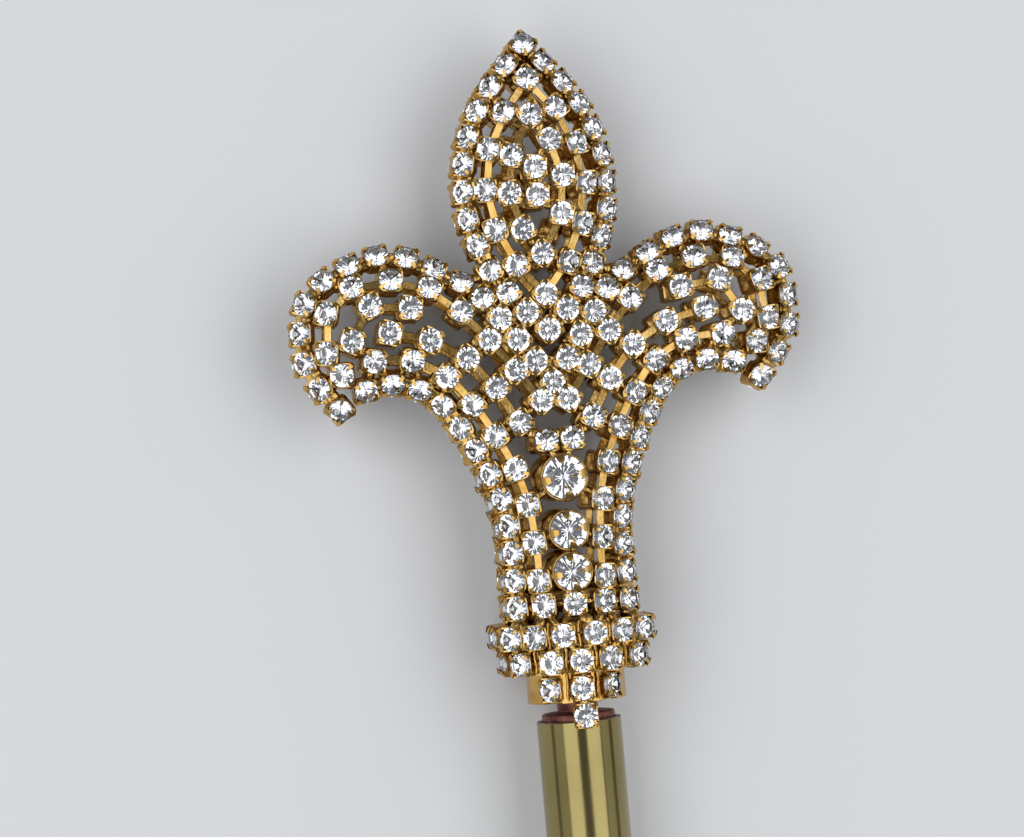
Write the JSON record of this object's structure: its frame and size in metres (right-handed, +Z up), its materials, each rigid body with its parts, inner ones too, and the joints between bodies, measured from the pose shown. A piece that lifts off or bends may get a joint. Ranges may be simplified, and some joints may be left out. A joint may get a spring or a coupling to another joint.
{
  "type": "sceptre",
  "caption": "Sceptre with a fleur-de-lis head of gold openwork set with round clear stones front and back, a stepped pointed collar and a long plain polished brass tube handle.",
  "frame": {"origin": "bottom centre of the bounding box, with the sceptre lying on its back on a flat surface", "axes": "+Y along the sceptre towards the tip of the head, +Z up out of the front of the head, +X across the head"},
  "size_m": [0.0972, 0.5316, 0.0266],
  "materials": {
    "gold_plate": "polished gold plate on brass",
    "tube_brass": "polished brass, a little olive, with fine scratches",
    "plug_bronze": "dull reddish-brown patina",
    "crystal": "clear cut crystal, polished",
    "foil": "silver foil behind each stone"
  },
  "bodies": {
    "root": {"handle_tube": "tube_brass", "top_plug": "plug_bronze", "end_plug": "plug_bronze", "collar": "gold_plate", "head_front": "gold_plate", "head_back": "gold_plate", "side_chain_right": "gold_plate", "side_chain_left": "gold_plate", "large_stone_front_1": "crystal", "large_stone_front_2": "crystal", "large_stone_front_3": "crystal", "large_stone_back_1": "crystal", "large_stone_back_2": "crystal", "large_stone_back_3": "crystal"}
  },
  "joints": []
}
